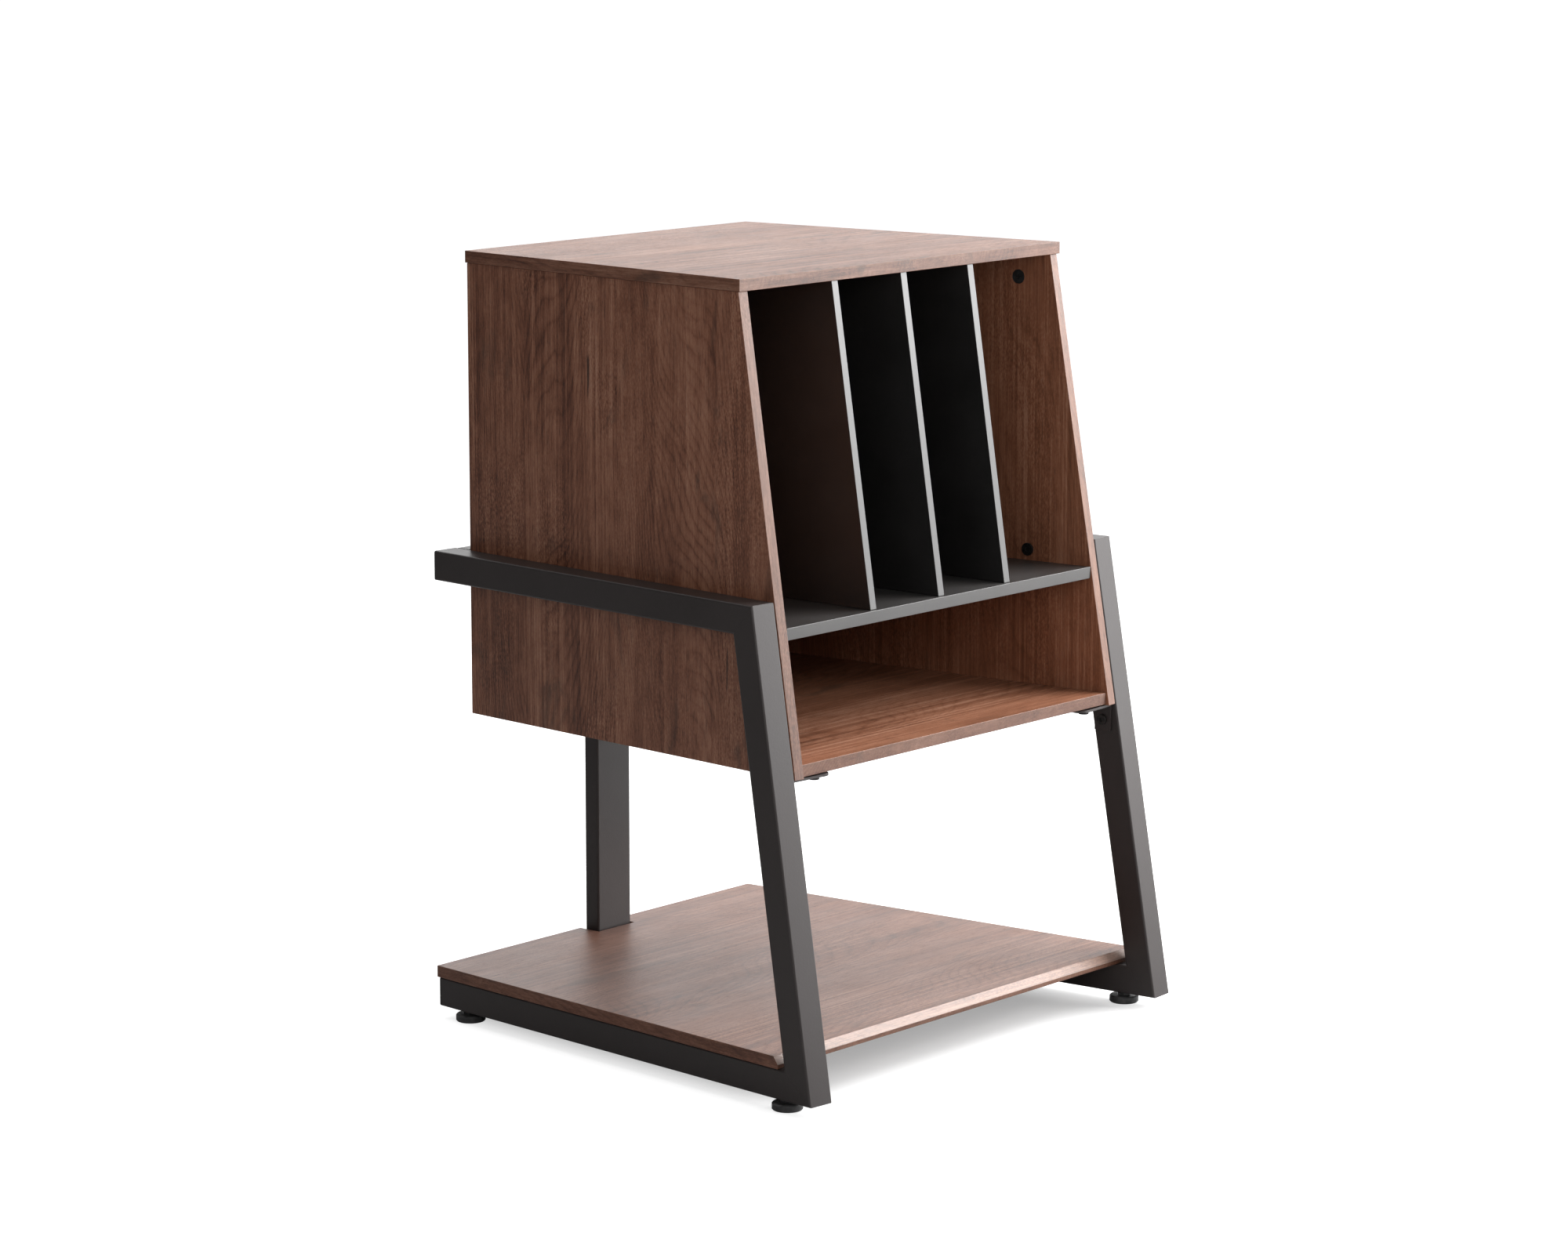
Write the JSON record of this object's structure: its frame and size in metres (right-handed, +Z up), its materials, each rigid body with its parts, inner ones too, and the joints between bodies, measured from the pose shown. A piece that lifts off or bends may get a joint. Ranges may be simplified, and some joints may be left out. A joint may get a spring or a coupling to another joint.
{
  "type": "photo album stand",
  "caption": "Splayed walnut cabinet with upright album bays and a lower cubby, carried in a slanted black tube frame over a base panel on levelling feet.",
  "frame": {"origin": "on the floor, under the centre of the overall bounding box", "axes": "+Z up, the open front faces -Y, +X to the right of someone facing the front"},
  "size_m": [0.6088, 0.5732, 0.833],
  "materials": {
    "walnut_laminate": "satin walnut grain laminate",
    "black_laminate": "satin black laminate",
    "black_powder_coat": "satin black powder coat",
    "black_plastic": "satin moulded black plastic",
    "blackened_steel": "blackened steel",
    "zinc_plated_steel": "bright zinc plate"
  },
  "bodies": {
    "stand": {"top_panel": "walnut_laminate", "back_panel": "walnut_laminate", "middle_shelf": "black_laminate", "bottom_panel": "walnut_laminate", "left_divider": "black_laminate", "centre_divider": "black_laminate", "right_divider": "black_laminate", "rear_top_crossbar": "black_powder_coat", "rear_bottom_crossbar": "black_powder_coat", "rear_post": "black_powder_coat", "base_panel": "walnut_laminate", "left_crossbar_bolt": "blackened_steel", "right_crossbar_bolt": "blackened_steel", "left_side_panel": "walnut_laminate", "left_top_bar": "black_powder_coat", "left_leg": "black_powder_coat", "left_bottom_bar": "black_powder_coat", "left_top_bar_cap": "black_plastic", "left_bottom_bar_cap": "black_plastic", "left_bracket": "black_powder_coat", "left_bracket_panel_screw": "blackened_steel", "left_bracket_leg_screw": "blackened_steel", "left_front_cam_lock": "black_plastic", "left_front_cam_bolt": "zinc_plated_steel", "left_front_bar_bolt": "blackened_steel", "left_front_base_screw": "zinc_plated_steel", "left_front_foot_nut": "zinc_plated_steel", "left_rear_cam_lock": "black_plastic", "left_rear_cam_bolt": "zinc_plated_steel", "left_rear_bar_bolt": "blackened_steel", "left_rear_base_screw": "zinc_plated_steel", "left_rear_foot_nut": "zinc_plated_steel", "right_side_panel": "walnut_laminate", "right_top_bar": "black_powder_coat", "right_leg": "black_powder_coat", "right_bottom_bar": "black_powder_coat", "right_top_bar_cap": "black_plastic", "right_bottom_bar_cap": "black_plastic", "right_bracket": "black_powder_coat", "right_bracket_panel_screw": "blackened_steel", "right_bracket_leg_screw": "blackened_steel", "right_front_cam_lock": "black_plastic", "right_front_cam_bolt": "zinc_plated_steel", "right_front_bar_bolt": "blackened_steel", "right_front_base_screw": "zinc_plated_steel", "right_front_foot_nut": "zinc_plated_steel", "right_rear_cam_lock": "black_plastic", "right_rear_cam_bolt": "zinc_plated_steel", "right_rear_bar_bolt": "blackened_steel", "right_rear_base_screw": "zinc_plated_steel", "right_rear_foot_nut": "zinc_plated_steel"},
    "left_front_foot_screw": {"left_front_foot_stud": "zinc_plated_steel"},
    "left_front_foot": {"left_front_foot_pad": "black_plastic"},
    "left_rear_foot_screw": {"left_rear_foot_stud": "zinc_plated_steel"},
    "left_rear_foot": {"left_rear_foot_pad": "black_plastic"},
    "right_front_foot_screw": {"right_front_foot_stud": "zinc_plated_steel"},
    "right_front_foot": {"right_front_foot_pad": "black_plastic"},
    "right_rear_foot_screw": {"right_rear_foot_stud": "zinc_plated_steel"},
    "right_rear_foot": {"right_rear_foot_pad": "black_plastic"}
  },
  "joints": [
    {"name": "left_front_foot_lift", "type": "slide", "parent": "stand", "child": "left_front_foot_screw", "axis": [0, 0, -1], "range_m": [0, 0.01125]},
    {"name": "left_front_foot_turn", "type": "hinge", "parent": "left_front_foot_screw", "child": "left_front_foot", "pos_m": [-0.28459, -0.23714, 0.009], "axis": [0, 0, -1], "range_deg": [0, 3241]},
    {"name": "left_rear_foot_lift", "type": "slide", "parent": "stand", "child": "left_rear_foot_screw", "axis": [0, 0, -1], "range_m": [0, 0.01125]},
    {"name": "left_rear_foot_turn", "type": "hinge", "parent": "left_rear_foot_screw", "child": "left_rear_foot", "pos_m": [-0.24192, 0.25049, 0.009], "axis": [0, 0, -1], "range_deg": [0, 3241]},
    {"name": "right_front_foot_lift", "type": "slide", "parent": "stand", "child": "right_front_foot_screw", "axis": [0, 0, -1], "range_m": [0, 0.01125]},
    {"name": "right_front_foot_turn", "type": "hinge", "parent": "right_front_foot_screw", "child": "right_front_foot", "pos_m": [0.28459, -0.23714, 0.009], "axis": [0, 0, -1], "range_deg": [0, 3241]},
    {"name": "right_rear_foot_lift", "type": "slide", "parent": "stand", "child": "right_rear_foot_screw", "axis": [0, 0, -1], "range_m": [0, 0.01125]},
    {"name": "right_rear_foot_turn", "type": "hinge", "parent": "right_rear_foot_screw", "child": "right_rear_foot", "pos_m": [0.24192, 0.25049, 0.009], "axis": [0, 0, -1], "range_deg": [0, 3241]}
  ],
  "couplings": [
    {"joint": "left_front_foot_turn", "follows": "left_front_foot_lift", "rad_per_m": 5026.5},
    {"joint": "left_rear_foot_turn", "follows": "left_rear_foot_lift", "rad_per_m": 5026.5},
    {"joint": "right_front_foot_turn", "follows": "right_front_foot_lift", "rad_per_m": 5026.5},
    {"joint": "right_rear_foot_turn", "follows": "right_rear_foot_lift", "rad_per_m": 5026.5}
  ]
}
